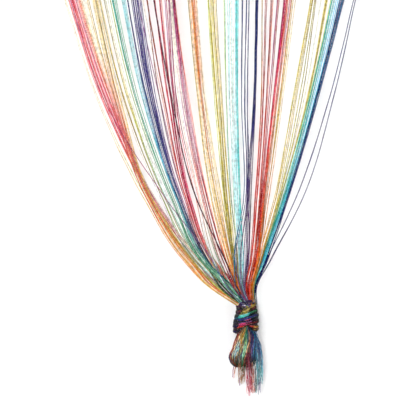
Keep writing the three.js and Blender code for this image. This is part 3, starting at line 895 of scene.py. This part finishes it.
def knot_yarns():
    """Dark yarns all round each turn, darkened further as painted shade between the front yarns, short
    glints among them, and the yarns that show on its front.
    """
    rng = np.random.default_rng(LAID["knot"])
    for turn in TURNS:
        ground = turn.ground.split()
        for number in range(GROUND_YARNS if ground else 0):
            place = 2 * (number + 0.5) / GROUND_YARNS - 1
            start = rng.uniform(*BACK_HALF)
            points = wound_arc(rng, turn, place, start, start + GROUND_LAP, GROUND_SINK)
            # darkened well below their dye: painted shade in the gaps
            shade = linear(ground[number % len(ground)]) * GROUND_PAINTED_SHADE * rng.uniform(*GROUND_UPTAKE)
            yield Yarn(points, YARN_RADIUS, lustrous(rng, points, shade), UP)
        for _ in range(GLINT_YARNS if ground else 0):
            start = rng.uniform(-math.pi, math.pi)
            place = rng.uniform(-1, 1)
            points = wound_arc(rng, turn, place, start, start + rng.uniform(*GLINT_SPAN), GLINT_SINK)
            shade = linear(rng.choice(ground)) * rng.uniform(*GLINT_DEPTH)
            yield Yarn(points, WOUND_RADIUS, lustrous(rng, points, shade), UP)
        for entry in turn.front.split(","):
            name, place, start, end = entry.split()
            start, end = math.radians(float(start)), math.radians(float(end))
            points = wound_arc(rng, turn, float(place) / 100, start, end, 0)
            shade = linear(name) * WOUND_DEPTH
            yield Yarn(points, WOUND_RADIUS, lustrous(rng, points, shade), UP)


def knot_core(material):
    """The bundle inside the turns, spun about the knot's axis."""
    shape = bmesh.new()
    profile = [(0, -KNOT_TOP_RISE), (KNOT_TOP_RADIUS, -KNOT_TOP_RISE)]
    profile += [(turn.radius - CORE_SINK - RIDGE_RELIEF / 2, turn.drop) for turn in TURNS[1:]]
    foot = KNOT_FOOT_DROP - CORE_SINK
    profile += [(KNOT_FOOT_RADIUS - CORE_SINK, foot), (0, foot)]
    verts = [shape.verts.new((KNOT_X * MM + r * MM, 0, (NECK_Z - drop) * MM)) for r, drop in profile]
    edges = [shape.edges.new(pair) for pair in zip(verts, verts[1:])]
    bmesh.ops.spin(shape, geom=verts + edges, cent=(KNOT_X * MM, 0, 0), axis=(0, 0, 1),
                   angle=2 * math.pi, steps=CORE_SEGMENTS, use_merge=True)
    bmesh.ops.remove_doubles(shape, verts=shape.verts, dist=WELD * MM)
    bmesh.ops.recalc_face_normals(shape, faces=shape.faces)
    for vert in shape.verts:
        depth = (NECK_Z * MM - vert.co.z) / MM
        tilt = np.interp(depth, [turn.drop for turn in TURNS], [turn.tilt for turn in TURNS])
        vert.co.z += tilt * (vert.co.x - KNOT_X * MM)
    return mesh_piece("knot_core", shape, material)


# Tail


def ring_curve():
    """The bulb's rings as smooth curves of the run down its side: drop, across, deep, x and y."""
    rings = np.array(TAIL_RINGS, float)
    run = run_of(rings[:, :2])
    return smooth_curve(run, rings, np.linspace(0, run[-1], int(run[-1] / TAIL_STEP)))


def lock_shade(rng, lock, drop):
    """A tail yarn's shades down its length: those of its lock, or a dark one on the bulb's side, with
    painted shade under the knot and in the fold, lighter between.
    """
    side = DARK_SHADES if rng.random() < TAIL_DARK else lock.side
    crown, side, foot = (linear(rng.choice(names.split())) for names in (lock.crown, side, lock.foot))
    reached = drop + rng.uniform(-CHANGE_SPREAD, CHANGE_SPREAD)
    shades = np.array([crown, side, side, foot]) * TAIL_DEPTH * rng.uniform(*TAIL_UPTAKE)
    # painted shade under the knot and in the fold, lighter on the bulb's side
    tone = np.interp(drop, *zip(*TAIL_PAINTED_LIGHT))[:, None]
    return tone * np.column_stack([np.interp(reached, TAIL_CHANGES, part) for part in shades.T])


def tail_yarns():
    """Yarns that come out under the knot, spread over the bulb and fold under at its foot."""
    rng = np.random.default_rng(LAID["tail"])
    drop, across, deep, x, y = ring_curve().T
    along = np.arange(len(drop)) * TAIL_STEP
    for number in range(TAIL_YARNS):
        base = 360 * (number + rng.random()) / TAIL_YARNS - 180
        lock = next(lock for lock in LOCKS if base < lock.end)
        half = (lock.end - lock.start) / 2
        off_middle = (base - lock.start) / half - 1
        base = math.radians(base - (1 - LOCK_GATHER) * off_middle * half)
        angle = base + uneven(rng, along, *TAIL_TURNING) + uneven(rng, along, *TAIL_WAVE)
        sink = TAIL_SINK + TAIL_LOOSE * rng.random() + uneven(rng, along, *TAIL_CRIMP)
        sink += uneven(rng, along, *TAIL_SWELL) + LOCK_RELIEF * off_middle ** 2
        wide = np.maximum(across - sink, LEAST_HALF)
        depth = np.maximum(deep - sink, LEAST_HALF)
        fold = rng.uniform(*TAIL_FOLD) * np.clip((along / along[-1] - FOLD_FROM) / FOLD_SHARE, 0, 1)
        points = np.column_stack([KNOT_X + x + wide * np.sin(angle), y - depth * np.cos(angle),
                                  NECK_Z - drop - fold])
        shade = lustrous(rng, points, lock_shade(rng, lock, drop))
        yield Yarn(points, TAIL_RADIUS, shade, np.array([math.cos(base), math.sin(base), 0]))


def tail_core(material):
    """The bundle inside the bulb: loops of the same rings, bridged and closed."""
    shape = bmesh.new()
    loops = []
    for ring in TAIL_RINGS[1:-1]:
        made = bmesh.ops.create_circle(shape, segments=TAIL_CORE_SEGMENTS, radius=1)["verts"]
        size = ((ring.across - TAIL_CORE_SINK) * MM, (ring.deep - TAIL_CORE_SINK) * MM, 1)
        bmesh.ops.scale(shape, vec=size, verts=made)
        lift = TAIL_CORE_SINK if ring is TAIL_RINGS[-2] else 0
        place = ((KNOT_X + ring.x) * MM, ring.y * MM, (NECK_Z - ring.drop + lift) * MM)
        bmesh.ops.translate(shape, vec=place, verts=made)
        loops.append(list({edge for vert in made for edge in vert.link_edges}))
    for above, below in zip(loops, loops[1:]):
        bmesh.ops.bridge_loops(shape, edges=above + below)
    bmesh.ops.holes_fill(shape, edges=loops[0] + loops[-1], sides=0)
    bmesh.ops.recalc_face_normals(shape, faces=shape.faces)
    return mesh_piece("tail_core", shape, material)


def beside(place, aside):
    """Where a strand passes, aside from its bunch's own place."""
    across, depth, drop = place
    return np.array([KNOT_X + across + aside[0], depth + aside[1], NECK_Z - drop])


def loose_end_yarns():
    """Cut ends below the bulb, crimped from the twist, no two of a length."""
    rng = np.random.default_rng(LAID["ends"])
    for bunch in BUNCHES:
        names = bunch.shades.split()
        for number in range(bunch.strands):
            kept = SHORTEST_END + (1 - SHORTEST_END) * rng.random() ** LENGTH_BIAS
            angle = number * GOLDEN_ANGLE
            aside = np.array([math.cos(angle), math.sin(angle)]) * math.sqrt(number + 0.5)
            root = beside(bunch.root, ROOT_PITCH * aside)
            bend = beside(bunch.bend, END_PITCH * aside)
            tip = bend + kept * (beside(bunch.tip, END_PITCH * aside) - bend)
            points = falling_path(np.array([root, bend, tip]), END_STEP)
            points = wandering(rng, points, *END_CRIMP)
            points = wandering(rng, points, *END_SWAY)
            shades = names[number % len(names)]
            tint = dyed(shades, points[:, 2], points[0, 2], points[-1, 2]) * rng.uniform(*TAIL_UPTAKE)
            yield Yarn(points, END_RADIUS, np.clip(tint, 0, 1), ACROSS_X)


# Studio


def sheet_of_paper(name, corners, material):
    shape = bmesh.new()
    shape.faces.new([shape.verts.new([c * MM for c in corner]) for corner in corners])
    piece = mesh_piece(name, shape, material, smooth=False)
    piece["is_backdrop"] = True
    return piece


def linked(name, objects):
    """A collection that a light lights, or that casts its shadows."""
    made = bpy.data.collections.new(name)
    for item in objects:
        made.objects.link(item)
    return made


def soft_light(name, come_from, strength, lit, shading=None):
    """Soft light that comes evenly from one side and lights some objects alone."""
    light = bpy.data.lights.new(name, "SUN")
    light.angle = LIGHT_SOFTNESS
    light.energy = strength
    lamp = placed(name, light)
    lamp.rotation_euler = Vector(come_from).to_track_quat("Z", "Y").to_euler()
    lamp.light_linking.receiver_collection = linked(f"{name}_lit", lit)
    if shading:
        lamp.light_linking.blocker_collection = linked(f"{name}_shading", shading)


def white_surround():
    """Dim white light from all round, seen as a pale ground where no paper stands."""
    world = bpy.data.worlds.new("studio")
    world.use_nodes = True
    tree = world.node_tree
    seen = new_node(tree, "LightPath").outputs["Is Camera Ray"]
    strength = spread(tree, seen, 0, 1, WORLD_LIGHT, WORLD_SEEN)
    wired(tree, tree.nodes["Background"], {"Color": (1, 1, 1, 1), "Strength": strength})
    return world


def camera():
    """A long lens in front of the curtain's lower half."""
    lens = bpy.data.cameras.new("camera")
    lens.lens = CAMERA_LENS
    lens.clip_end = CAMERA_REACH * MM
    eye = placed("camera", lens)
    eye.location = [c * MM for c in CAMERA_PLACE]
    eye.rotation_euler = (math.pi / 2, 0, 0)
    return eye


def studio(pieces):
    """The papers, lights and camera round the finished pieces."""
    reach = STAGE_REACH
    square = [(-reach, -reach), (reach, -reach), (reach, reach), (-reach, reach)]
    upright = [(x, WALL_Y, max(z, FLOOR_Z)) for x, z in square]
    wall = sheet_of_paper("wall_paper", upright, backdrop_material("wall_white", True))
    flat = [(x, y, FLOOR_Z) for x, y in square]
    floor = sheet_of_paper("floor_paper", flat, backdrop_material("floor_white", False))
    heading = [piece for piece in pieces if piece.name.startswith("heading")]
    massive = [piece for piece in pieces if piece.name.startswith(("knot", "tail"))]
    pale = [wall, floor] + heading
    dyed_yarns = [piece for piece in pieces if piece not in heading]
    soft_light("key", KEY_FROM, strength=5.8, lit=dyed_yarns)
    soft_light("back_light", BACK_FROM, strength=2.0, lit=pieces, shading=pieces)
    soft_light("wall_light", WALL_LIGHT_FROM, strength=1.25, lit=pale, shading=massive)
    soft_light("shade_light", WALL_LIGHT_FROM, strength=0.45, lit=[wall, floor], shading=pieces)
    soft_light("wall_fill", WALL_LIGHT_FROM, strength=0.9, lit=pale, shading=[floor])
    scene = bpy.context.scene
    scene.world = white_surround()
    scene.view_settings.view_transform = "Standard"
    scene.camera = camera()


def curtain():
    """The whole curtain, from its heading down to its loose ends."""
    yarn = twisted_yarn_group()
    slots = [f"yarn_{dye}" for dye in sorted({colour.dye for colour in COLOURS})]
    materials = {slot: yarn_material(slot, yarn, STRING_LOOK) for slot in slots}
    wound, folded = (yarn_material(slot, yarn, WOUND_LOOK) for slot in ("yarn_knot", "yarn_tail"))
    thread = yarn_material("sewing_thread", yarn, STRING_LOOK)
    tape = hung(heading_tape(tape_material()), "heading_tape", "heading")
    stitches = yarns_piece("heading_stitches", stitch_yarns(), thread, SPUN["stitches"])
    hung(stitches, "heading_tape")
    hang_strings(materials)
    hung(yarns_piece("knot_yarns", knot_yarns(), wound, SPUN["knot"]), "yarn_knot", "knot")
    hung(knot_core(core_material("knot_inside_shade", KNOT_INSIDE_SHADE)), "yarn_knot")
    hung(yarns_piece("tail_yarns", tail_yarns(), folded, SPUN["tail"]), "yarn_tail", "tail")
    hung(tail_core(core_material("tail_inside_shade", TAIL_INSIDE_SHADE)), "yarn_tail")
    hung(yarns_piece("tail_loose_ends", loose_end_yarns(), folded, SPUN["ends"]), "yarn_tail")


def write_sizes():
    boxes = {"cad": CAD_BOX, "visual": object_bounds()}
    {name: [list(corner) for corner in box] for name, box in boxes.items()}


curtain()
studio(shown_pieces())
write_sizes()
